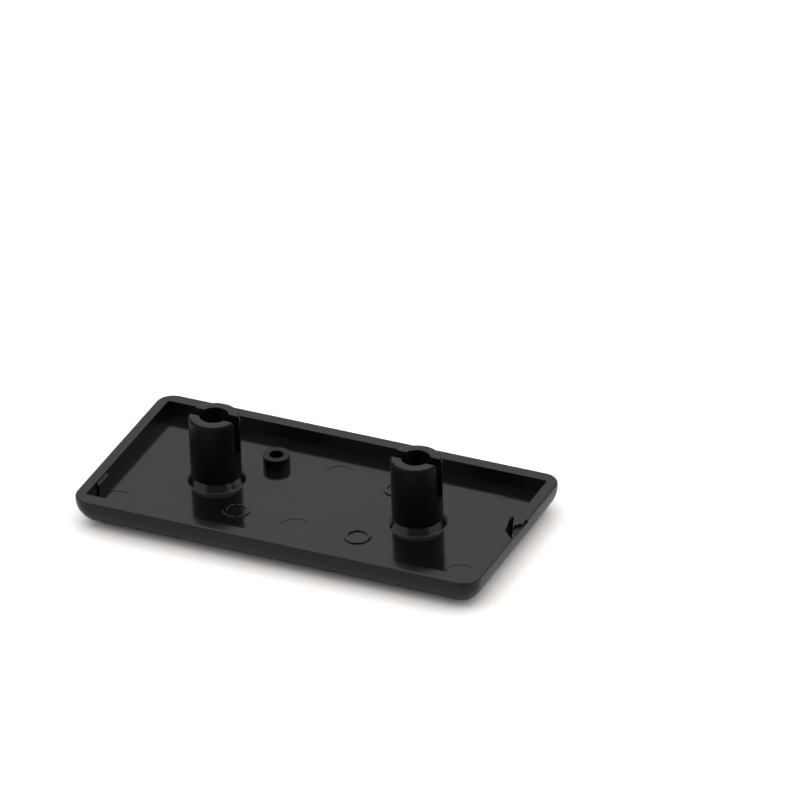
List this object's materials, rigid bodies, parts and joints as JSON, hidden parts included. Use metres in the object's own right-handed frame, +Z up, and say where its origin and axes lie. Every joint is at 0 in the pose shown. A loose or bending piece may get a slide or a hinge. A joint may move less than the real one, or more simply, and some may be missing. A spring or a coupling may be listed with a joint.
{
  "type": "profile end cap",
  "caption": "Shallow rectangular plastic end cap with a rounded show face, a low rim and hollow split pegs that press into the core bores of a double-width slotted profile.",
  "frame": {"origin": "centre of the show face, on the surface that the cap lies on", "axes": "+Z up along the pegs, +X along the long side towards the end wall with the gate mark, +Y across the short side"},
  "size_m": [0.06, 0.03, 0.0126],
  "materials": {
    "black_nylon": "black moulded polyamide: fine spark-eroded grain on the show face and outer walls, smoother and slightly glossy on the floor, rim and pegs"
  },
  "bodies": {
    "root": {"end_cap": "black_nylon"}
  },
  "joints": []
}
